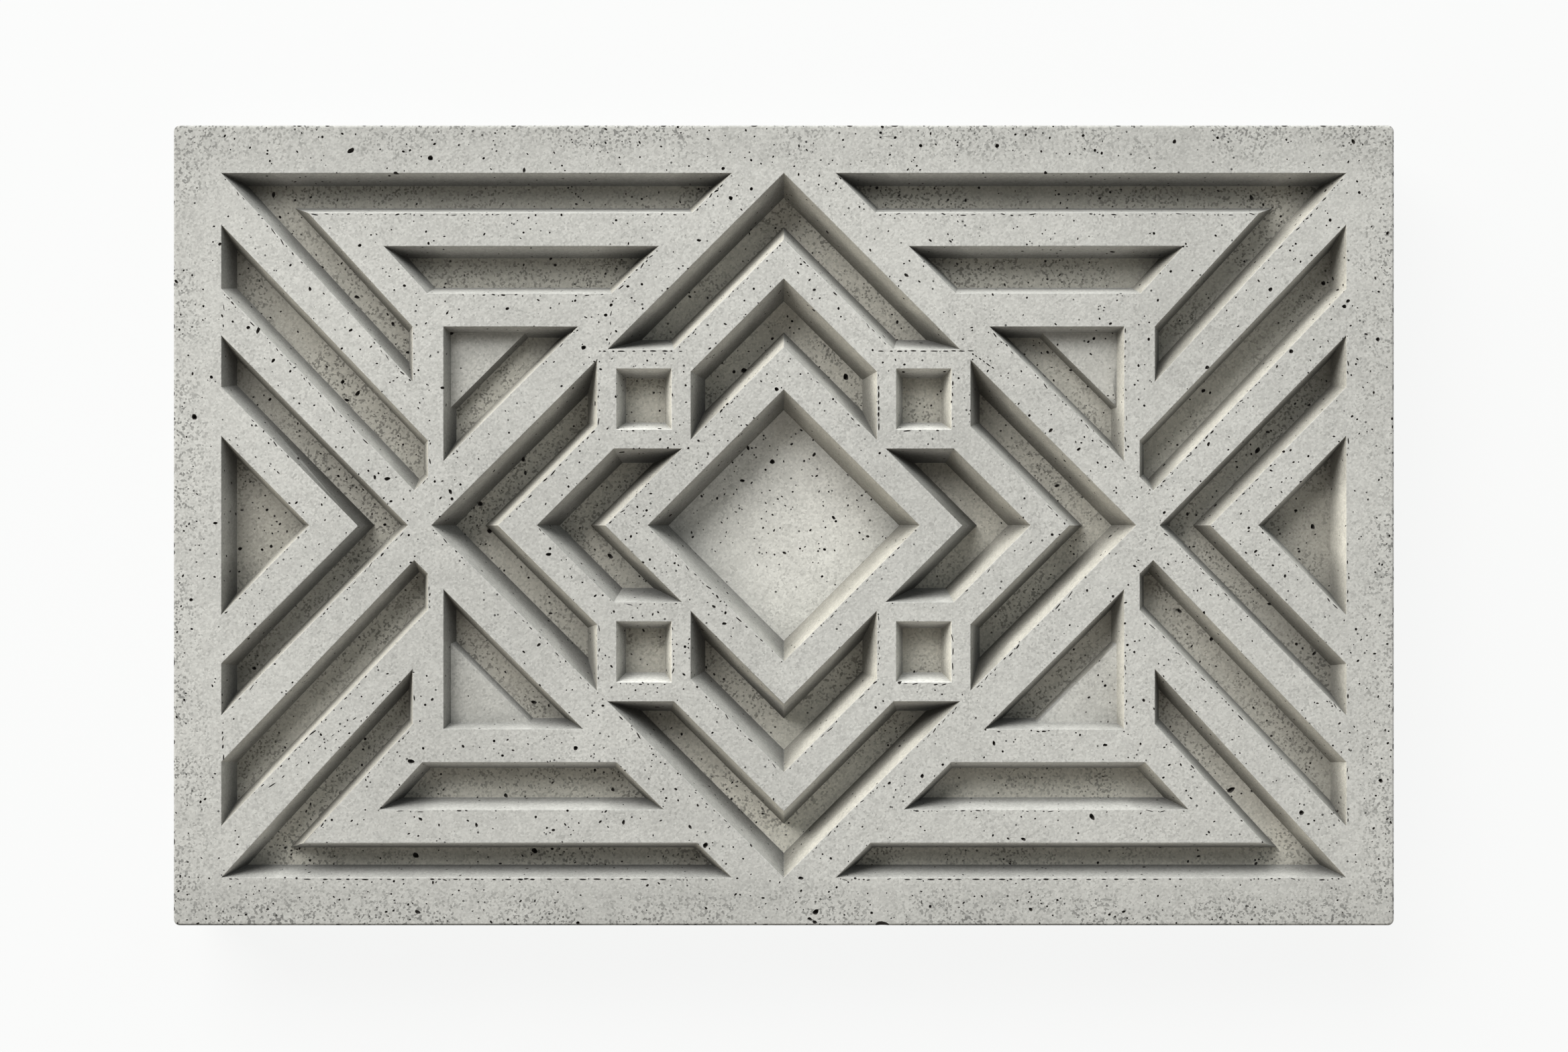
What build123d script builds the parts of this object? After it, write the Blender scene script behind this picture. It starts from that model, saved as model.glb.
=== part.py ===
from build123d import *
import math
import os

# Relief panel of cast concrete: a cladding or paving slab with a geometric pattern of sunk grooves.
# It lies flat on its back: X is its length, Y its height when hung, Z its thickness, relief on top.
# The origin is the centre of the back face. All sizes are millimetres.

# Slab
LENGTH = 610.0
HEIGHT = 400.0
THICKNESS = 50.0
CORNER_RADIUS = 3.0
FACE_ARRIS = 1.5
BACK_ARRIS = 0.8
BORDER = 24.0

# Sunk grooves: every wall leans back by the draft that lets the form strips come out
DRAFT = 17.0
GROOVE_DEPTH = 14.0
DIAMOND_DEPTH = 21.0
SQUARE_DEPTH = 13.0
SHELF_DEPTH = 8.0

# Nested diamonds round the centre: widths are taken along the slab's axes, from point to point
OUTER_GROOVE = 33.2
OUTER_RIB = 19.5
INNER_GROOVE = 34.1
INNER_RIB = 21.3
RIDGE = 26.0

# Square blocks that stand across the diamond grooves, centred on the outer rib
BLOCK_LENGTH = 46.8
BLOCK_HEIGHT = 49.6
BLOCK_X = 69.9
BLOCK_RIM = 9.6

# From the border down: corner bar, short bar and triangular pocket, with a rib between each two
CORNER_BAR = 19.9
SHORT_BAR = 23.6
BAR_RIB = 16.6
SHORT_BAR_GAP = 22.4

# The lower half's form strips were set slightly further out than the upper half's
LOWER_SHIFT = 2.5

# Triangular pocket: its pointed foot stands this far above the middle, its channel lies along the ridge
POCKET_FOOT = 32.0
POCKET_CHANNEL = 25.0

# Leg of the corner groove: its height on the slant, and the post left between it and the pocket
CORNER_LEG = 27.5
LEG_POST = 15.4

# Along the short sides' border, down from the corner: heights of the grooves and of the ribs between
DIAGONAL_RIB = 25.8
DIAGONAL_GROOVE = 32.0
CHEVRON_RIB = 23.3
CHEVRON_GROOVE = 25.8
TRIANGLE_RIB = 24.4

# Inner ends of the side grooves
DIAGONAL_POST = 7.8
DIAGONAL_BLUNT = 18.1
CHEVRON_TIP_RIB = 11.8

field_x = LENGTH / 2 - BORDER
field_y = HEIGHT / 2 - BORDER

# Tip distances of the diamonds' rims from the centre, and the ridge that frames them
rim_outer = field_y
rim_rib = rim_outer - OUTER_GROOVE
rim_inner = rim_rib - OUTER_RIB
rim_ledge = rim_inner - INNER_GROOVE
rim_centre = rim_ledge - INNER_RIB
rim_ridge = rim_outer + RIDGE

block_y = (rim_rib + rim_inner) / 2 - BLOCK_X
block_left = BLOCK_X - BLOCK_LENGTH / 2
block_right = BLOCK_X + BLOCK_LENGTH / 2
block_low = block_y - BLOCK_HEIGHT / 2
block_high = block_y + BLOCK_HEIGHT / 2

# Heights of the bars and the pocket in the upper half
corner_bar_low = field_y - CORNER_BAR
short_bar_top = corner_bar_low - BAR_RIB
pocket_top = short_bar_top - SHORT_BAR - BAR_RIB
pocket_side = rim_ridge - POCKET_FOOT

# The corner groove's leg runs from the field's corner to a square end beside the pocket
leg_end = pocket_side + LEG_POST
leg_slope = (field_y - pocket_top + CORNER_LEG) / (field_x - leg_end)


def leg_edge_x(y):
    """Where the leg's inner edge passes at height y."""
    return leg_end + (y - pocket_top) / leg_slope


def placed(points, across_x, across_y):
    """Carry an outline drawn in the +X +Y quarter into another quarter."""
    return [(across_x * x, across_y * y) for x, y in points]


def sunk(points, depth):
    """A drafted cutter: the outline at the face, leaning in as it goes down to the depth."""
    face_level = Plane.XY.offset(THICKNESS)
    prism = extrude(face_level * make_face(Polyline(*points, close=True)), amount=depth, dir=(0, 0, -1))
    walls = prism.faces().filter_by(Axis.Z, reverse=True)
    return draft(walls, face_level, -DRAFT)


def slab():
    """The plain slab with its rounded edges."""
    block = Box(LENGTH, HEIGHT, THICKNESS, align=(Align.CENTER, Align.CENTER, Align.MIN))
    block = fillet(block.edges().filter_by(Axis.Z), CORNER_RADIUS)
    block = fillet(block.faces().sort_by(Axis.Z)[-1].edges(), FACE_ARRIS)
    return chamfer(block.faces().sort_by(Axis.Z)[0].edges(), BACK_ARRIS)


def centre_recess():
    """The sunk diamond at the middle."""
    return sunk([(rim_centre, 0), (0, rim_centre), (-rim_centre, 0), (0, -rim_centre)], DIAMOND_DEPTH)


def outer_arm():
    """The outer diamond groove's upper part, between the tops of two blocks."""
    return [
        (rim_outer - block_high, block_high), (0, rim_outer), (block_high - rim_outer, block_high),
        (block_high - rim_rib, block_high), (0, rim_rib), (rim_rib - block_high, block_high),
    ]


def inner_arm():
    """The inner diamond groove's upper part, between the inner sides of two blocks."""
    return [
        (block_left, rim_inner - block_left), (0, rim_inner), (-block_left, rim_inner - block_left),
        (-block_left, rim_ledge - block_left), (0, rim_ledge), (block_left, rim_ledge - block_left),
    ]


def outer_elbow():
    """The outer diamond groove's side part, between the outer sides of two blocks."""
    return [
        (block_right, rim_outer - block_right), (rim_outer, 0), (block_right, block_right - rim_outer),
        (block_right, block_right - rim_rib), (rim_rib, 0), (block_right, rim_rib - block_right),
    ]


def inner_elbow():
    """The inner diamond groove's side part, between the feet of two blocks."""
    return [
        (rim_inner - block_low, block_low), (rim_inner, 0), (rim_inner - block_low, -block_low),
        (rim_ledge - block_low, -block_low), (rim_ledge, 0), (rim_ledge - block_low, block_low),
    ]


def block_square():
    """The small square recess on top of a block."""
    left = block_left + BLOCK_RIM
    right = block_right - BLOCK_RIM
    low = block_low + BLOCK_RIM
    high = block_high - BLOCK_RIM
    return [(left, low), (right, low), (right, high), (left, high)]


def corner_groove(shift):
    """The bar along the border and the leg that comes back from the corner, drawn from the tip."""
    bar_low = corner_bar_low + shift
    return [
        (field_x, field_y), (rim_ridge - field_y, field_y), (rim_ridge - bar_low, bar_low),
        (leg_edge_x(bar_low), bar_low), (leg_end, pocket_top), (leg_end, pocket_top - CORNER_LEG),
    ]


def short_bar(shift):
    """The short bar, cut off along the ridge at one end and along the corner groove's leg at the other."""
    top = short_bar_top + shift
    low = top - SHORT_BAR
    return [
        (leg_edge_x(top) - SHORT_BAR_GAP, top), (rim_ridge - top, top),
        (rim_ridge - low, low), (leg_edge_x(low) - SHORT_BAR_GAP, low),
    ]


def pocket_shelf(shift):
    """The triangular pocket down to the level of its shelf."""
    top = pocket_top + shift
    return [(pocket_side, top), (rim_ridge - top, top), (pocket_side, rim_ridge - pocket_side)]


def pocket_channel(shift):
    """The deeper channel along the pocket's long side: its far wall starts at the shelf's level."""
    top = pocket_top + shift
    lean = SHELF_DEPTH * math.tan(math.radians(DRAFT)) * math.sqrt(2)
    shelf = rim_ridge + POCKET_CHANNEL + lean
    return [
        (rim_ridge - top, top), (shelf - top, top),
        (pocket_side, shelf - pocket_side), (pocket_side, rim_ridge - pocket_side),
    ]


def diagonal_groove():
    """The straight groove from the border to a blunt end that is clipped along the ridge."""
    top = field_y - DIAGONAL_RIB
    end = pocket_side + DIAGONAL_POST
    end_low = rim_ridge - end
    end_high = end_low + DIAGONAL_BLUNT
    slope = (top - end_high) / (field_x - end)
    lower_end = end_high - DIAGONAL_GROOVE
    clip = (end_low - lower_end) / (1 + slope)
    return [
        (field_x, top), (end, end_high), (end, end_low),
        (end + clip, end_low - clip), (field_x, top - DIAGONAL_GROOVE),
    ]


chevron_top = field_y - DIAGONAL_RIB - DIAGONAL_GROOVE - CHEVRON_RIB
chevron_tip = rim_outer + CHEVRON_TIP_RIB
chevron_slope = chevron_top / (field_x - chevron_tip)


def chevron():
    """The chevron groove that points to the middle of the slab."""
    inner_top = chevron_top - CHEVRON_GROOVE
    inner_tip = field_x - inner_top / chevron_slope
    return [
        (field_x, chevron_top), (chevron_tip, 0), (field_x, -chevron_top),
        (field_x, -inner_top), (inner_tip, 0), (field_x, inner_top),
    ]


def side_triangle():
    """The small triangle inside the chevron."""
    top = chevron_top - CHEVRON_GROOVE - TRIANGLE_RIB
    return [(field_x, top), (field_x - top / chevron_slope, 0), (field_x, -top)]


def relief():
    """Every cutter of the pattern."""
    cutters = [centre_recess()]
    for side in (1, -1):
        for arm in (outer_arm(), inner_arm()):
            cutters.append(sunk(placed(arm, 1, side), DIAMOND_DEPTH))
        for elbow in (outer_elbow(), inner_elbow()):
            cutters.append(sunk(placed(elbow, side, 1), DIAMOND_DEPTH))
        for outline in (chevron(), side_triangle()):
            cutters.append(sunk(placed(outline, side, 1), GROOVE_DEPTH))
        for half, shift in ((1, 0.0), (-1, LOWER_SHIFT)):
            quarter = (
                (block_square(), SQUARE_DEPTH),
                (corner_groove(shift), GROOVE_DEPTH),
                (short_bar(shift), GROOVE_DEPTH),
                (pocket_shelf(shift), SHELF_DEPTH),
                (pocket_channel(shift), GROOVE_DEPTH),
                (diagonal_groove(), GROOVE_DEPTH),
            )
            for outline, depth in quarter:
                cutters.append(sunk(placed(outline, side, half), depth))
    return cutters


def panel():
    """The finished slab with its relief cut in."""
    body = slab()
    for cutter in relief():
        body -= cutter
    return body.solid()


os.makedirs("parts", exist_ok=True)
export_step(panel(), "parts/relief_panel.step")
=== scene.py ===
import math
import random

import bmesh
import bpy
from mathutils import Matrix, Vector, noise


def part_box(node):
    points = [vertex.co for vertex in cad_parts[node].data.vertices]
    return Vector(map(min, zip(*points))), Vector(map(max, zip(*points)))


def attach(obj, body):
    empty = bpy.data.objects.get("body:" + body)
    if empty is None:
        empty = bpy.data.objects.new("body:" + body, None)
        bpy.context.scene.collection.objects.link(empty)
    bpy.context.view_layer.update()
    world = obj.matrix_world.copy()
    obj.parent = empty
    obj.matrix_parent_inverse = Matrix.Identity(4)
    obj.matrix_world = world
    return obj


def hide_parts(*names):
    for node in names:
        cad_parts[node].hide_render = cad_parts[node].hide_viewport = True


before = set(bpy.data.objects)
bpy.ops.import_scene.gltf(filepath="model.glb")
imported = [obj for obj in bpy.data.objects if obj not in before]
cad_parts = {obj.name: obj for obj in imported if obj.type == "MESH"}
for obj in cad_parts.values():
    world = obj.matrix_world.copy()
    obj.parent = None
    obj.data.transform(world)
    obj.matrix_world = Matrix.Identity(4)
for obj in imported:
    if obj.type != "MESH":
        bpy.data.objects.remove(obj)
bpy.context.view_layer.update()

# A concrete relief panel that lies flat, face up. Lengths are metres; MM turns millimetres into them.
MM = 0.001
low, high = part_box("relief_panel")
FACE = high[2]
LENGTH = high[0] - low[0]
HEIGHT = high[1] - low[1]

# Directions: along the slab's length, across it, out of its face, and the side that the main light comes from
ALONG = Vector((1, 0, 0))
ACROSS = Vector((0, 1, 0))
UP = Vector((0, 0, 1))
LIT_SIDE = Vector((-0.5, 0.87))

# Rounding of the relief
RIM_ROUND = 0.5 * MM
CREASE_ROUND = 2.2 * MM
RELIEF_LOWEST = 20 * MM
RELIEF_INSET = 5 * MM

# Air holes: the grid that keeps them apart, how far off the face or the back the search for a spot starts,
# widths in millimetres, the length from which a hole has the finer shape, and how many are tried on each side
CELL = 4 * MM
AROUND = [(i, j, k) for i in (-1, 0, 1) for j in (-1, 0, 1) for k in (-1, 0, 1)]
LOOK_FROM = 20 * MM
HOLE_SMALLEST = 0.70
HOLE_LARGEST = 2.6
HOLE_RATE = 3.1
FINE_FROM = 2.2 * MM
FACE_HOLES = 3450
CENTRE_HOLES = 70
BACK_HOLES = 240
LONG_SIDE_HOLES = 120
SHORT_SIDE_HOLES = 80

# Large air holes with a place of their own: x, y, width and length in millimetres, turn in degrees
LARGE_PITS = (
    (-262.5, 97.6, 1.7, 3.8, 70),
    (-197.8, 102.0, 1.6, 2.2, 120),
    (-217.3, 128.1, 1.5, 1.9, 20),
    (-236.7, 118.1, 1.5, 2.3, 100),
    (-115.7, 131.8, 1.8, 2.0, 0),
    (-138.2, 108.3, 1.8, 2.0, 45),
)

# Where tears run nearly into each other: start x and y, end x and y, and their gap, in millimetres
TORN_SEAMS = (
    (47.4, 69.8, 47.4, 47.7, 0.8),
    (46.9, 87.1, 92.5, 87.1, 3.0),
    (-92.5, 87.1, -50.0, 87.1, 3.5),
    (94.0, 86.0, 104.0, 79.0, 1.2),
    (60.0, -176.8, 200.0, -176.8, 5.0),
    (-240.0, -176.8, -60.0, -176.8, 6.0),
)

# How many nibbles each edge of the face has, and where the spall lies along the lower one
NIBBLES = (("y_low", 90), ("y_high", 45), ("x_low", 30), ("x_high", 40))
SPALL_X = 49 * MM

# Tones below were tuned to the photograph under this studio's lamps.
# Painted shade on the floors: tone of each against the face, with the depth in millimetres from which it
# holds:
# the shelves, the squares, the grooves and the diamonds; then the centre recess, painted lighter than the
# face, and how far it reaches
FLOOR_SHADE_TONES = ((0, 0.86), (10, 0.98), (13.5, 0.82), (17.5, 0.95))
FLOOR_DEEPEST = 25
CENTRE_LIGHT_TONE = 1.13
CENTRE_REACH = 67 * MM

# Middle of a block's square in each quarter, and half the width that its own painted light and shade hold for
SQUARE_X = 69.9 * MM
SQUARE_Y = 63.2 * MM
SQUARE_HALF = 18 * MM

# The light scuff in the lower right corner: middle, slope, half its length and half its width
SCUFF_X = 276.1 * MM
SCUFF_Y = -188.0 * MM
SCUFF_SLOPE = 0.6
SCUFF_HALF_LENGTH = 7.5 * MM
SCUFF_HALF_WIDTH = 0.5 * MM

# Studio: paper, air, soft boxes and camera
PAPER_SIZE = 8.0
PAPER_GLOW = 0.91
AIR_LIGHT = 0.04
NEAR_WHITE = (0.97, 0.975, 0.97, 1)
BOX_DISTANCE = 5.0
BOX_HEIGHT = 2.8
SOFT_BOXES = (
    ("key_box", 120, 34, 0.79, (1.0, 1.0, 0.99), 5.0),
    ("cool_fill", 45, 38, 0.09, (0.92, 0.98, 1.0), 2.8),
    ("left_fill", 225, 38, 0.075, (1.0, 0.98, 0.94), 2.8),
    ("warm_fill", 270, 38, 0.06, (1.0, 0.92, 0.80), 2.8),
    ("right_fill", 315, 38, 0.05, (1.0, 0.95, 0.88), 2.8),
)
CAMERA_OFF = (0.0001, -0.0003)
CAMERA_HEIGHT = 1.06
CAMERA_SENSOR = 36.0
CAMERA_LENS = 48.72


def deselect():
    bpy.ops.object.select_all(action="DESELECT")


def make_active(thing):
    deselect()
    thing.select_set(True)
    bpy.context.view_layer.objects.active = thing


def casting():
    """The slab as it left the mould: a merged copy of the CAD mesh with flat faces made whole."""
    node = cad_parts["relief_panel"]
    mesh = node.data.copy()
    mesh.name = "cast_slab"
    slab = bpy.data.objects.new("cast_slab", mesh)
    bpy.context.scene.collection.objects.link(slab)
    make_active(slab)
    bpy.ops.object.mode_set(mode="EDIT")
    bpy.ops.mesh.select_all(action="SELECT")
    bpy.ops.mesh.remove_doubles(threshold=0.00001)
    bpy.ops.mesh.dissolve_limited(angle_limit=math.radians(0.5))
    bpy.ops.object.mode_set(mode="OBJECT")
    return slab


def relief_edges(slab):
    """The kind of each of the relief's edges: a rim at the face, an arris that stands out, or a crease."""
    bm = bmesh.new()
    bm.from_mesh(slab.data)
    bm.edges.ensure_lookup_table()
    kinds = {}
    reach_x = LENGTH / 2 - RELIEF_INSET
    reach_y = HEIGHT / 2 - RELIEF_INSET
    for edge in bm.edges:
        a, b = edge.verts[0].co, edge.verts[1].co
        inside = all(abs(c.x) < reach_x and abs(c.y) < reach_y for c in (a, b))
        if not inside or min(a.z, b.z) < RELIEF_LOWEST or len(edge.link_faces) != 2:
            continue
        if min(a.z, b.z) > FACE - 0.1 * MM:
            kinds[edge.index] = "rim"
        elif edge.is_convex:
            kinds[edge.index] = "arris"
        else:
            kinds[edge.index] = "crease"
    bm.free()
    return kinds


def lit_rims(slab):
    """Start, end and wall's direction of each rim whose wall faces the light: strips tore a line there."""
    bm = bmesh.new()
    bm.from_mesh(slab.data)
    bm.edges.ensure_lookup_table()
    rims = []
    for index, kind in relief_edges(slab).items():
        if kind != "rim":
            continue
        edge = bm.edges[index]
        wall = min(edge.link_faces, key=lambda face: face.normal.z)
        if wall.normal.xy.normalized().dot(LIT_SIDE) > 0.2:
            rims.append((edge.verts[0].co.copy(), edge.verts[1].co.copy(), wall.normal.xy.normalized()))
    bm.free()
    return rims


def soften(slab, kind, width, segments):
    """Round one kind of the relief's edges."""
    kinds = relief_edges(slab)
    make_active(slab)
    bpy.ops.object.mode_set(mode="EDIT")
    bpy.ops.mesh.select_all(action="DESELECT")
    bpy.ops.mesh.select_mode(type="EDGE")
    bpy.ops.object.mode_set(mode="OBJECT")
    for index, found in kinds.items():
        if found == kind:
            slab.data.edges[index].select = True
    bpy.ops.object.mode_set(mode="EDIT")
    bpy.ops.mesh.bevel(offset=width, segments=segments, affect="EDGES", clamp_overlap=True)
    bpy.ops.object.mode_set(mode="OBJECT")


def level_face(slab):
    """Lay flat what the rounding of a corner pushed up past the face."""
    proud = [vertex.index for vertex in slab.data.vertices if vertex.co.z > FACE]
    make_active(slab)
    bpy.ops.object.mode_set(mode="EDIT")
    bpy.ops.mesh.select_mode(type="VERT")
    bpy.ops.mesh.select_all(action="DESELECT")
    bpy.ops.object.mode_set(mode="OBJECT")
    for index in proud:
        slab.data.vertices[index].select = True
    bpy.ops.object.mode_set(mode="EDIT")
    if proud:
        bpy.ops.transform.resize(value=(1, 1, 0), center_override=(0, 0, FACE))
    bpy.ops.object.mode_set(mode="OBJECT")


def pit_shapes():
    """Three lumpy air bubbles of radius one, modelled once: every hole, tear and nibble is a copy of one."""
    shapes = []
    for number in range(3):
        deselect()
        bpy.ops.mesh.primitive_ico_sphere_add(subdivisions=2 if number else 1, radius=1.0)
        shape = bpy.context.active_object
        shape.name = "bubble_%d" % number
        bpy.ops.object.mode_set(mode="EDIT")
        bpy.ops.mesh.select_all(action="SELECT")
        bpy.ops.transform.vertex_random(offset=0.12, uniform=0.5, normal=0.5, seed=number + 3)
        bpy.ops.object.mode_set(mode="OBJECT")
        shapes.append(shape)
    return shapes


class Bubbles:
    """The air bubbles that broke the surface, kept clear of each other."""

    def __init__(self, slab):
        self.slab = slab
        self.shapes = pit_shapes()
        self.copies = []
        self.cells = {}

    def crowded(self, spots, radius):
        """True where another bubble is in the way; otherwise the spots are taken."""
        taken = []
        for spot in spots:
            key = tuple(int(math.floor(v / CELL)) for v in spot)
            for step in AROUND:
                near = (key[0] + step[0], key[1] + step[1], key[2] + step[2])
                for other, reach in self.cells.get(near, ()):
                    if (other - spot).length < 1.1 * (reach + radius):
                        return True
            taken.append((key, spot))
        for key, spot in taken:
            self.cells.setdefault(key, []).append((spot.copy(), radius))
        return False

    def add(self, spot, normal, along, width, length, depth):
        """One bubble at a spot of the surface: its length lies along a direction, its depth inwards."""
        normal = normal.normalized()
        along = (along - normal * along.dot(normal)).normalized()
        upright = Matrix((along.cross(normal), along, normal)).transposed().to_4x4()
        half = max(0.0, (length - width) / 2)
        steps = 1 + int(2 * half / width)
        spots = [spot]
        if half:
            spots = [spot + along * (half * (2 * i / steps - 1)) for i in range(steps + 1)]
        if self.crowded(spots, width / 2):
            return
        shape = self.shapes[0]
        if FINE_FROM <= length <= 3 * width:
            shape = self.shapes[random.choice((1, 2))]
        copy = shape.copy()
        copy.data = shape.data.copy()
        size = Matrix.Diagonal((width / 2, length / 2, depth, 1))
        copy.data.transform(Matrix.Translation(spot) @ upright @ size)
        self.copies.append(copy)

    def cut(self):
        """Take all the bubbles out of the slab in one cut."""
        for copy in self.copies:
            bpy.context.scene.collection.objects.link(copy)
        make_active(self.copies[0])
        for copy in self.copies:
            copy.select_set(True)
        bpy.ops.object.join()
        cutter = bpy.context.active_object
        # The holes' insides take a near black colour painted as their shade
        cutter.data.materials.clear()
        cutter.data.materials.append(painted_hole_shade())
        make_active(self.slab)
        cut = self.slab.modifiers.new("bug_holes", "BOOLEAN")
        cut.operation = "DIFFERENCE"
        cut.solver = "MANIFOLD"
        cut.material_mode = "TRANSFER"
        cut.object = cutter
        bpy.ops.object.modifier_apply(modifier=cut.name)
        for tool in [cutter] + self.shapes:
            bpy.data.objects.remove(tool, do_unlink=True)


def bubble_size():
    """Most are about a millimetre across, a few over two."""
    return min(HOLE_LARGEST, HOLE_SMALLEST + random.expovariate(HOLE_RATE)) * MM


def any_way():
    """A random direction."""
    return Vector((random.uniform(-1, 1), random.uniform(-1, 1), random.uniform(-1, 1))).normalized()


def surface_bubbles(bubbles, count, start, sight, span):
    """Bubbles over one side: rays along sight, from start and spread over span, find the surface."""
    for _ in range(count):
        origin = Vector(start) + Vector([(random.random() - 0.5) * s for s in span])
        hit, spot, normal, _ = bubbles.slab.ray_cast(origin, Vector(sight))
        if not hit or noise.noise(spot * 14) + 0.35 * random.random() < -0.12:
            continue
        width = bubble_size()
        length = width * random.choice((1, 1, 1.15, 1.3, 1.7))
        bubbles.add(spot, normal, any_way(), width, length, width * random.uniform(0.6, 0.95))


def rim_flaws(bubbles, rims):
    """The ragged line of small tears just outside a rim, where the strip was pulled."""
    for start, end, inward in rims:
        run = end - start
        length = run.length
        along = run.normalized()
        reach = random.uniform(0, 4) * MM
        while reach < length - 3 * MM:
            tear = (0.6 + random.expovariate(0.8)) * MM
            spot = start + along * (reach + tear / 2)
            spot -= Vector((*inward, 0)) * random.uniform(0.45, 1.3) * MM
            spot.z = FACE
            if noise.noise(spot * 22) > -0.1 and tear < 5 * MM:
                width = random.uniform(0.45, 0.95) * MM
                sway = along + Vector((*inward, 0)) * random.uniform(-0.3, 0.3)
                bubbles.add(spot, UP, sway, width, max(width, tear), width * random.uniform(0.5, 0.9))
            reach += tear + (0.5 + random.expovariate(0.35)) * MM


def torn_seams(bubbles):
    """The seams where tears run nearly into each other."""
    for x0, y0, x1, y1, gap in TORN_SEAMS:
        start = Vector((x0 * MM, y0 * MM, FACE))
        run = Vector((x1 * MM, y1 * MM, FACE)) - start
        along = run.normalized()
        reach = 0.0
        while reach < run.length:
            tear = random.uniform(1.2, 4.5) * MM
            spot = start + along * (reach + tear / 2)
            spot += Vector((-along.y, along.x, 0)) * random.uniform(-0.12, 0.12) * MM
            width = random.uniform(0.7, 1.05) * MM
            bubbles.add(spot, UP, along, width, max(width, tear), width * 0.8)
            reach += tear + random.uniform(0.2, 1.0) * gap * MM


def large_pits(bubbles):
    """The large air holes that have a place of their own."""
    for x, y, width, length, turn in LARGE_PITS:
        above = Vector((x * MM, y * MM, FACE + LOOK_FROM))
        hit, spot, normal, _ = bubbles.slab.ray_cast(above, -UP)
        if hit:
            along = Vector((math.cos(math.radians(turn)), math.sin(math.radians(turn)), 0))
            bubbles.add(spot, normal, along, width * MM, length * MM, width * 0.7 * MM)


def edge_chips(bubbles):
    """Nibbles along the slab's edges, and one larger spall on the lower one."""
    spall = Vector((SPALL_X, low[1] + 0.2 * MM, FACE))
    bubbles.add(spall, Vector((0, -1, 1)), ALONG, 4.5 * MM, 7.5 * MM, 2.2 * MM)
    for side, count in NIBBLES:
        for _ in range(count):
            share = random.uniform(-0.97, 0.97)
            if side[0] == "y":
                spot = Vector((share * LENGTH / 2, low[1] if side == "y_low" else high[1], FACE - 0.4 * MM))
                out = Vector((0, -1 if side == "y_low" else 1, 1))
            else:
                spot = Vector((low[0] if side == "x_low" else high[0], share * HEIGHT / 2, FACE - 0.4 * MM))
                out = Vector((-1 if side == "x_low" else 1, 0, 1))
            spot = spot - Vector((out.x, out.y, 0)) * 0.3 * MM
            width = random.uniform(0.6, 1.5) * MM
            along = ALONG if side[0] == "y" else ACROSS
            bubbles.add(spot, out, along, width, width * random.uniform(1, 2.6), width * 0.5)


def painted_hole_shade():
    """The inside of an air hole, painted near black as its shade."""
    material = bpy.data.materials.new("painted_hole_shade")
    material.use_nodes = True
    shader = material.node_tree.nodes["Principled BSDF"]
    shader.inputs["Base Color"].default_value = (0.05, 0.045, 0.04, 1)
    shader.inputs["Roughness"].default_value = 0.9
    return material


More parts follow.
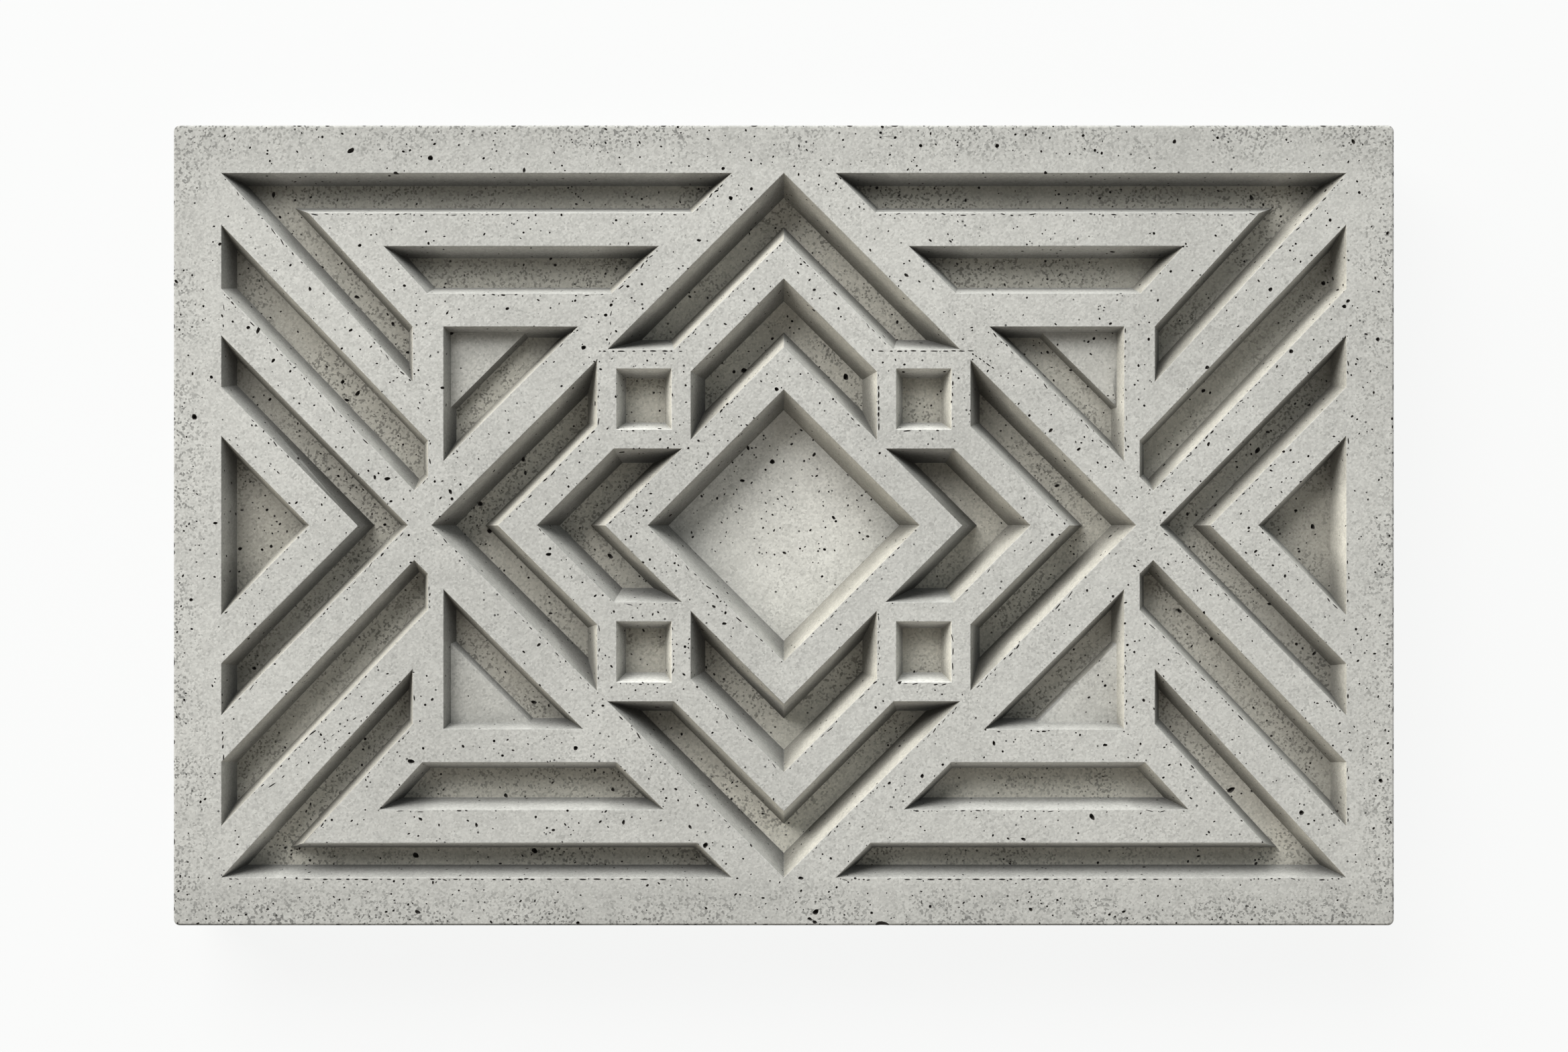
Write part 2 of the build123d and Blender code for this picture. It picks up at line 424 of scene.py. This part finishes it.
class Mix:
    """Short words for wiring a material's nodes."""

    def __init__(self, name):
        self.material = bpy.data.materials.new(name)
        self.material.use_nodes = True
        self.tree = self.material.node_tree
        self.shader = self.tree.nodes["Principled BSDF"]
        self.place = self.tree.nodes.new("ShaderNodeTexCoord")

    def put(self, socket, value):
        """Link a socket to another, or set it to a number, vector or colour."""
        if isinstance(value, bpy.types.NodeSocket):
            self.tree.links.new(value, socket)
        else:
            socket.default_value = value

    def math(self, operation, a, b=0.0):
        """One sum on two numbers."""
        node = self.tree.nodes.new("ShaderNodeMath")
        node.operation = operation
        self.put(node.inputs[0], a)
        self.put(node.inputs[1], b)
        return node.outputs[0]

    def noise(self, size, detail=2.0, rough=0.5, offset=(0, 0, 0)):
        """Noise with lumps of about that size in metres, from 0 to 1."""
        node = self.tree.nodes.new("ShaderNodeTexNoise")
        mapping = self.tree.nodes.new("ShaderNodeMapping")
        mapping.inputs["Location"].default_value = offset
        self.put(mapping.inputs["Vector"], self.place.outputs["Object"])
        self.put(node.inputs["Vector"], mapping.outputs[0])
        node.inputs["Scale"].default_value = 1.0 / size
        node.inputs["Detail"].default_value = detail
        node.inputs["Roughness"].default_value = rough
        return node.outputs["Fac"]

    def parts(self, vector):
        """The three numbers of a vector."""
        node = self.tree.nodes.new("ShaderNodeSeparateXYZ")
        self.put(node.inputs[0], vector)
        return node.outputs

    def grains(self, size, offset=(0, 0, 0)):
        """Three chance numbers from 0 to 1 for every grain of about that size."""
        return self.parts(self.spots(size, offset).outputs["Color"])

    def times(self, *values):
        """All the numbers multiplied."""
        product = values[0]
        for value in values[1:]:
            product = self.math("MULTIPLY", product, value)
        return product

    def less(self, share, part=1.0):
        """What is left of 1 once a part of the share is taken."""
        return self.math("SUBTRACT", 1.0, self.math("MULTIPLY", share, part) if part != 1.0 else share)

    def spots(self, size, offset=(0, 0, 0)):
        """The node of points about that size apart: Distance is to the nearest one, in sizes."""
        node = self.tree.nodes.new("ShaderNodeTexVoronoi")
        mapping = self.tree.nodes.new("ShaderNodeMapping")
        mapping.inputs["Location"].default_value = offset
        self.put(mapping.inputs["Vector"], self.place.outputs["Object"])
        self.put(node.inputs["Vector"], mapping.outputs[0])
        node.inputs["Scale"].default_value = 1.0 / size
        return node

    def ramp(self, value, low, high, out_low=0.0, out_high=1.0, smooth=True):
        """From one number to another as the value goes from low to high."""
        node = self.tree.nodes.new("ShaderNodeMapRange")
        node.interpolation_type = "SMOOTHSTEP" if smooth else "LINEAR"
        self.put(node.inputs["Value"], value)
        self.put(node.inputs["From Min"], low)
        self.put(node.inputs["From Max"], high)
        self.put(node.inputs["To Min"], out_low)
        self.put(node.inputs["To Max"], out_high)
        return node.outputs[0]

    def between(self, share, a, b):
        """From a to b as the share goes from 0 to 1."""
        return self.math("ADD", a, self.math("MULTIPLY", share, self.math("SUBTRACT", b, a)))

    def scale(self, colour, value):
        """A colour times a number."""
        node = self.tree.nodes.new("ShaderNodeVectorMath")
        node.operation = "SCALE"
        self.put(node.inputs[0], colour)
        self.put(node.inputs["Scale"], value)
        return node.outputs[0]

    def blend(self, share, a, b, kind="MIX"):
        """From colour a to colour b by the share, or a multiplied by b."""
        node = self.tree.nodes.new("ShaderNodeMix")
        node.data_type = "RGBA"
        node.blend_type = kind
        self.put(node.inputs["Factor"], share)
        self.put(node.inputs["A"], a if isinstance(a, bpy.types.NodeSocket) else (*a, 1))
        self.put(node.inputs["B"], b if isinstance(b, bpy.types.NodeSocket) else (*b, 1))
        return node.outputs["Result"]


def weathered(mix, edge, edge_y, up, floor, wall):
    """Tone of the cement skin: blotches, sand, rough drifts and pin holes."""
    wide = mix.ramp(mix.noise(130 * MM, 2, 0.55), 0.3, 0.7, 0.94, 1.05)
    small = mix.ramp(mix.noise(10 * MM, 2, 0.6, (3, 1, 0)), 0.3, 0.7, 0.96, 1.03)
    long_border = mix.ramp(edge_y, 14 * MM, 28 * MM, 0.93, 1.0)
    tone = mix.times(wide, small, long_border)

    # Rougher skin in drifts along the border and on the floors, smoother on the walls and the sides
    border = mix.times(mix.ramp(edge, 1 * MM, 24 * MM, 1.0, 0.22), mix.ramp(up, 0.4, 0.9, 0.4, 1.0))
    drift = mix.ramp(mix.noise(35 * MM, 2, 0.6, (5, 5, 1)), 0.36, 0.62, 0.2, 1.0)
    rough = mix.times(mix.math("MAXIMUM", border, mix.times(floor, 0.9)), drift)
    rough = mix.times(mix.math("ADD", rough, 0.12), mix.less(wall, 0.7))

    # Sand: every grain of the skin has its own tone, and the rough drifts have dark ones between
    sand = mix.grains(1 * MM, (1, 7, 2))
    light_sand = mix.times(mix.math("SUBTRACT", sand[0], 0.5), 0.20)
    dark_sand = mix.times(mix.ramp(sand[1], 0.16, 0.34, 1.0, 0.0), rough)
    tone = mix.times(tone, mix.math("ADD", light_sand, 1.0), mix.less(dark_sand, 0.52))

    # Pin holes too small to cut
    pins = mix.spots(4.2 * MM, (2, 2, 2))
    pin_size = mix.ramp(mix.noise(9 * MM, 1, 0.5, (8, 8, 8)), 0.42, 0.68, 0.02, 0.14)
    pin = mix.math("LESS_THAN", pins.outputs["Distance"], pin_size)
    return mix.times(tone, mix.less(pin, 0.80))


def painted_floor_shade(mix, x, z, lift, centre):
    """Painted shade: the face's tone each floor keeps, by depth, less at the short edges, more at the lower
    one.
    """
    keep = mix.tree.nodes.new("ShaderNodeValToRGB")
    steps = keep.color_ramp
    steps.interpolation = "CONSTANT"
    for depth, share in FLOOR_SHADE_TONES:
        step = steps.elements[0] if depth == 0 else steps.elements.new(depth / FLOOR_DEEPEST)
        step.color = (share / 2, share / 2, share / 2, 1)
    steps.elements.remove(steps.elements[-1])
    mix.put(keep.inputs[0], mix.times(mix.math("SUBTRACT", FACE, z), 1 / (FLOOR_DEEPEST * MM)))
    share = mix.times(keep.outputs[0], 2.0)
    share = mix.math("MAXIMUM", share, mix.times(centre, CENTRE_LIGHT_TONE))
    # Painted shade at the ends of the floors near the short edges
    short_edge_shade = mix.ramp(mix.math("ABSOLUTE", x), 235 * MM, 272 * MM, 1.0, 0.74)
    return mix.times(share, short_edge_shade, lift)


def in_square(mix, x, y):
    """1 in and round the square recess of a block, 0 elsewhere."""
    across = mix.math("SUBTRACT", mix.math("ABSOLUTE", x), SQUARE_X)
    along = mix.math("SUBTRACT", mix.math("ABSOLUTE", y), SQUARE_Y)
    off = mix.math("MAXIMUM", mix.math("ABSOLUTE", across), mix.math("ABSOLUTE", along))
    return mix.math("LESS_THAN", off, SQUARE_HALF)


def foot_shade(mix, facing, place, lift, floor, wall):
    """Painted shade towards the foot of every wall and on the floors beside it, strongest on walls away from
    the light.
    """
    x, y, z = place
    # Painted shade: how open each point is to the sky darkens its colour in creases and corners
    shade = mix.tree.nodes.new("ShaderNodeAmbientOcclusion")
    shade.samples = 2
    shade.only_local = True
    shade.inputs["Distance"].default_value = 18 * MM
    open_sky = shade.outputs["AO"]
    floor_foot_shade = mix.ramp(open_sky, 0.30, 0.66, 0.55, 1.0)
    wall_foot_shade = mix.ramp(open_sky, 0.42, 0.90, 0.34, 1.14, False)

    # Walls away from the light are painted darker, and those that face left are painted lighter, as if lit
    # from the side
    lean = mix.math("ADD", mix.times(facing[0], LIT_SIDE.x), mix.times(facing[1], LIT_SIDE.y))
    away = mix.ramp(lean, -0.75, 0.15, 1.0, 0.0)
    away_wall_shade = mix.times(mix.ramp(z, FACE - 12 * MM, FACE - 1 * MM, 0.50, 0.82), lift)
    away_wall_shade = mix.times(away_wall_shade, mix.ramp(facing[0], -0.66, -0.45, 1.35, 1.0))
    lit_wall_shade = mix.ramp(z, FACE - 12 * MM, FACE - 1 * MM, 0.66, 0.93)
    square = in_square(mix, x, y)
    painted_side_light = mix.between(square, mix.ramp(facing[0], -0.85, -0.75, 1.35, 1.0), 1.0)
    wall_foot_shade = mix.times(wall_foot_shade, mix.between(away, mix.times(lit_wall_shade, painted_side_light), away_wall_shade))
    # Painted light on the walls in the squares, and deeper painted shade at the feet of their floors
    wall_foot_shade = mix.times(wall_foot_shade, mix.between(square, 1.0, 1.5))
    floor_foot_shade = mix.math("POWER", floor_foot_shade, mix.between(square, 1.0, 1.7))

    face = mix.less(mix.math("ADD", wall, floor))
    foot = mix.math("ADD", mix.times(wall_foot_shade, wall), mix.times(floor_foot_shade, floor))
    return mix.math("ADD", foot, face)


def lower_edge_shade(mix, facing, z, relief):
    """Patchy painted shade on the rounded lower edge of the slab, which faces away from the light."""
    down = mix.ramp(facing[1], -0.75, -0.25, 1.0, 0.0)
    top = mix.math("GREATER_THAN", z, FACE - 2 * MM)
    patchy = mix.ramp(mix.noise(30 * MM, 2, 0.6, (2, 6, 3)), 0.35, 0.6, 0.35, 0.75)
    return mix.times(down, top, patchy, mix.less(relief))


def scuff_mark(mix, x, y):
    """The light scuff in the lower right corner."""
    right = mix.math("SUBTRACT", x, SCUFF_X)
    above = mix.math("SUBTRACT", y, SCUFF_Y)
    off = mix.math("ABSOLUTE", mix.math("SUBTRACT", above, mix.times(right, SCUFF_SLOPE)))
    near = mix.math("LESS_THAN", mix.math("ABSOLUTE", right), SCUFF_HALF_LENGTH)
    patchy = mix.ramp(mix.noise(4 * MM, 1, 0.5, (1, 1, 1)), 0.42, 0.55, 0.0, 0.16)
    return mix.times(mix.math("LESS_THAN", off, SCUFF_HALF_WIDTH), near, patchy)


def concrete():
    """Fair-faced cast concrete, with shade and light painted into its tones on floors, walls, shelves and
    squares.
    """
    mix = Mix("cast_concrete")
    place = mix.parts(mix.place.outputs["Object"])
    x, y, z = place
    facing = mix.parts(mix.place.outputs["Normal"])

    # Masks: the relief without the slab's sides and back, its floors, its walls, and where warm painted shade
    # lies
    edge_x = mix.math("SUBTRACT", LENGTH / 2, mix.math("ABSOLUTE", x))
    edge_y = mix.math("SUBTRACT", HEIGHT / 2, mix.math("ABSOLUTE", y))
    edge = mix.math("MINIMUM", edge_x, edge_y)
    relief = mix.times(mix.math("GREATER_THAN", edge, 12 * MM), mix.math("GREATER_THAN", z, 10 * MM))
    level = mix.ramp(facing[2], 0.86, 0.98)
    sunk = mix.ramp(z, FACE - 5 * MM, FACE - 3 * MM, 1.0, 0.0)
    floor = mix.times(level, sunk, relief)
    wall = mix.times(mix.less(level), relief)
    middle = mix.math("ADD", mix.math("ABSOLUTE", x), mix.math("ABSOLUTE", y))
    centre = mix.math("LESS_THAN", middle, CENTRE_REACH)
    shelf = mix.math("GREATER_THAN", z, FACE - 10 * MM)
    rough_shaded_floor = mix.times(floor, mix.less(mix.math("MAXIMUM", centre, shelf), 0.8))
    left_wall = mix.times(wall, mix.ramp(facing[0], -0.68, -0.40, 1.0, 0.0))
    warm = mix.math("MAXIMUM", rough_shaded_floor, left_wall)

    # Painted light: towards the slab's lower long edge the hollows are painted lighter
    lift = mix.ramp(y, -170 * MM, -90 * MM, 1.48, 1.0)
    share = mix.math("SUBTRACT", painted_floor_shade(mix, x, z, lift, centre), 1.0)
    # Painted shade on the lower edge, and the light scuff
    unshaded_edge = mix.less(lower_edge_shade(mix, facing, z, relief))
    tone = mix.times(
        weathered(mix, edge, edge_y, facing[2], rough_shaded_floor, wall),
        mix.math("ADD", mix.times(share, floor), 1.0),
        foot_shade(mix, facing, place, lift, floor, wall),
        mix.math("ADD", unshaded_edge, scuff_mark(mix, x, y)),
    )
    skin = mix.scale((0.608, 0.605, 0.571), tone)
    # Painted warm light and shade: floors other than the shelves and the centre, and walls that face left,
    # are tinted warmer
    warm_shade_tint = mix.blend(warm, (1.0, 1.0, 1.0), (1.03, 1.0, 0.935))
    mix.put(mix.shader.inputs["Base Color"], mix.blend(1.0, skin, warm_shade_tint, "MULTIPLY"))
    mix.shader.inputs["Roughness"].default_value = 0.92
    mix.shader.inputs["Specular IOR Level"].default_value = 0.25

    bump = mix.tree.nodes.new("ShaderNodeBump")
    bump.inputs["Strength"].default_value = 0.5
    bump.inputs["Distance"].default_value = 0.3 * MM
    mix.put(bump.inputs["Height"], mix.noise(1.4 * MM, 1, 0.6, (1, 7, 2)))
    mix.put(mix.shader.inputs["Normal"], bump.outputs[0])
    return mix.material


def all_bubbles(slab, rims):
    """Every air hole, tear and nibble of the slab. Those with a set place come first, so they keep it."""
    bubbles = Bubbles(slab)
    large_pits(bubbles)
    edge_chips(bubbles)
    torn_seams(bubbles)
    rim_flaws(bubbles, rims)
    above = (0, 0, FACE + LOOK_FROM)
    surface_bubbles(bubbles, CENTRE_HOLES, above, (0, 0, -1), (0.09, 0.09, 0))
    surface_bubbles(bubbles, FACE_HOLES, above, (0, 0, -1), (LENGTH, HEIGHT, 0))
    surface_bubbles(bubbles, BACK_HOLES, (0, 0, -LOOK_FROM), (0, 0, 1), (LENGTH, HEIGHT, 0))
    for side in (1, -1):
        long_side = (0, side * HEIGHT, FACE / 2)
        short_side = (side * LENGTH, 0, FACE / 2)
        surface_bubbles(bubbles, LONG_SIDE_HOLES, long_side, (0, -side, 0), (LENGTH, 0, FACE))
        surface_bubbles(bubbles, SHORT_SIDE_HOLES, short_side, (-side, 0, 0), (0, HEIGHT, FACE))
    return bubbles


def smooth(slab):
    """Smooth shading that leaves the flat faces flat."""
    make_active(slab)
    bpy.ops.object.shade_smooth_by_angle(angle=math.radians(35))
    even = slab.modifiers.new("even_normals", "WEIGHTED_NORMAL")
    even.keep_sharp = True
    even.weight = 100
    bpy.ops.object.modifier_apply(modifier=even.name)


def dressed_slab():
    """The slab with its rounded relief, its concrete and its air holes."""
    slab = casting()
    rims = lit_rims(slab)
    soften(slab, "rim", RIM_ROUND, 2)
    soften(slab, "crease", CREASE_ROUND, 4)
    level_face(slab)
    slab.data.materials.clear()
    slab.data.materials.append(concrete())
    all_bubbles(slab, rims).cut()
    smooth(slab)
    return slab


def paper_floor():
    """A sheet of white paper that looks near white and still takes the slab's shadow."""
    bpy.ops.mesh.primitive_plane_add(size=PAPER_SIZE, location=(0, 0, 0))
    floor = bpy.context.active_object
    floor.name = "studio_floor"
    material = bpy.data.materials.new("white_paper")
    material.use_nodes = True
    tree = material.node_tree
    paper = tree.nodes["Principled BSDF"]
    paper.inputs["Base Color"].default_value = (0.9, 0.9, 0.9, 1)
    paper.inputs["Roughness"].default_value = 1.0
    glow = tree.nodes.new("ShaderNodeEmission")
    glow.inputs["Color"].default_value = NEAR_WHITE
    path = tree.nodes.new("ShaderNodeLightPath")
    share = tree.nodes.new("ShaderNodeMath")
    share.operation = "MULTIPLY"
    share.inputs[1].default_value = PAPER_GLOW
    mix = tree.nodes.new("ShaderNodeMixShader")
    tree.links.new(path.outputs["Is Camera Ray"], share.inputs[0])
    tree.links.new(share.outputs[0], mix.inputs[0])
    tree.links.new(paper.outputs[0], mix.inputs[1])
    tree.links.new(glow.outputs[0], mix.inputs[2])
    tree.links.new(mix.outputs[0], tree.nodes["Material Output"].inputs["Surface"])
    floor.data.materials.append(material)
    return floor


def studio_air():
    """A near white backdrop for the camera that gives the slab only a little light."""
    world = bpy.data.worlds.new("studio_air")
    bpy.context.scene.world = world
    world.use_nodes = True
    air = world.node_tree
    background = air.nodes["Background"]
    background.inputs["Color"].default_value = NEAR_WHITE
    seen = air.nodes.new("ShaderNodeLightPath")
    level = air.nodes.new("ShaderNodeMapRange")
    level.inputs["To Min"].default_value = AIR_LIGHT
    air.links.new(seen.outputs["Is Camera Ray"], level.inputs["Value"])
    air.links.new(level.outputs[0], background.inputs["Strength"])


def soft_box(name, azimuth, elevation, share, colour, width):
    """A soft box at an azimuth from +X. Its share is how far it lights a level sheet to full white."""
    turn, lift = math.radians(azimuth), math.radians(elevation)
    away = Vector((math.cos(lift) * math.cos(turn), math.cos(lift) * math.sin(turn), math.sin(lift)))
    bpy.ops.object.light_add(type="AREA", location=away * BOX_DISTANCE)
    lamp = bpy.context.active_object
    lamp.name = name
    lamp.data.shape = "RECTANGLE"
    lamp.data.size = width
    lamp.data.size_y = BOX_HEIGHT
    lamp.data.energy = share * (math.pi * BOX_DISTANCE) ** 2 / math.sin(lift)
    lamp.data.color = colour
    lamp.rotation_euler = away.to_track_quat("Z", "Y").to_euler()


def studio_camera():
    """The camera that looks straight down on the slab, upright in the picture."""
    place = (*CAMERA_OFF, FACE + CAMERA_HEIGHT)
    bpy.ops.object.camera_add(location=place, rotation=(0, 0, 0))
    camera = bpy.context.active_object
    camera.name = "studio_camera"
    camera.data.sensor_width = CAMERA_SENSOR
    camera.data.lens = CAMERA_LENS
    bpy.context.scene.camera = camera
    bpy.context.scene.view_settings.view_transform = "Standard"


random.seed(41)
slab = dressed_slab()
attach(slab, "root")
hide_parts("relief_panel")

deselect()
floor = paper_floor()
studio_air()
for box in SOFT_BOXES:
    soft_box(*box)
studio_camera()
